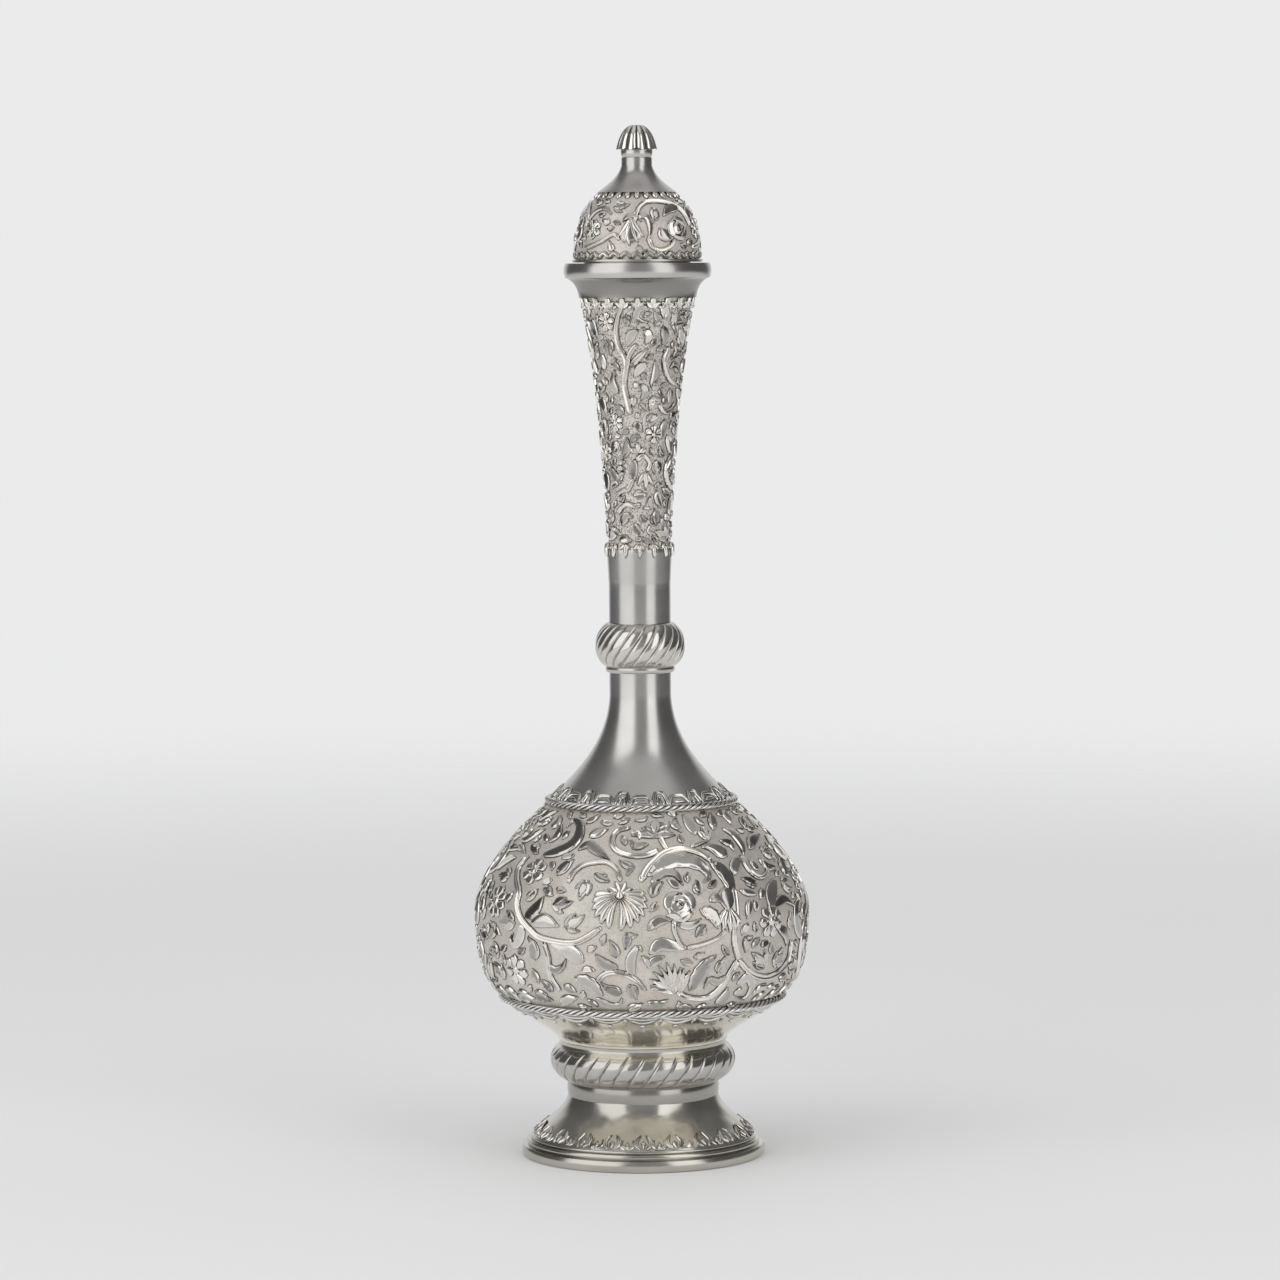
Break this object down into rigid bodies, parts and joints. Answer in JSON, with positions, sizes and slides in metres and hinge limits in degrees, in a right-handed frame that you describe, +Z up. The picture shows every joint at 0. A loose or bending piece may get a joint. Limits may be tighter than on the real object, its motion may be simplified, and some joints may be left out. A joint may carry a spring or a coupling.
{
  "type": "surahi",
  "caption": "Tall long-necked silver flask with a spread foot, a round chased belly, a twisted ring on the neck, a flared mouth and a domed lid that lifts off.",
  "frame": {"origin": "centre of the foot, on the surface that the surahi stands on", "axes": "+Z up along the axis of the vessel and its lid; +X to the right and -Y towards the viewer of the picture"},
  "size_m": [0.1146, 0.1146, 0.35],
  "materials": {
    "polished_silver": "polished silver with a soft satin bloom",
    "matte_silver": "white matted silver, stippled by a punch, under raised bright ornament",
    "bright_silver": "bright polished silver with darkened hollows",
    "plain_silver": "plain unpolished silver inside"
  },
  "bodies": {
    "vessel": {"foot_rim": "polished_silver", "foot_skirt": "polished_silver", "foot_band": "polished_silver", "foot_knop": "bright_silver", "foot_collar": "polished_silver", "bowl_cup": "polished_silver", "belly_lower": "matte_silver", "belly_upper": "matte_silver", "belly_rope_wire": "bright_silver", "shoulder_rope_wire": "bright_silver", "neck_cone": "polished_silver", "neck_step_ring": "polished_silver", "neck_ring": "bright_silver", "neck_sleeve": "plain_silver", "upper_neck": "matte_silver", "mouth_rim": "polished_silver"},
    "lid": {"lid_bezel": "polished_silver", "lid_dome": "matte_silver", "lid_spire": "polished_silver", "finial_collar": "polished_silver", "finial_bud": "bright_silver", "finial_stud": "plain_silver", "finial_washer": "plain_silver", "finial_nut": "plain_silver"}
  },
  "joints": [
    {"name": "lid_lift", "type": "slide", "parent": "vessel", "child": "lid", "axis": [0, 0, 1], "range_m": [0, 0.06]}
  ]
}
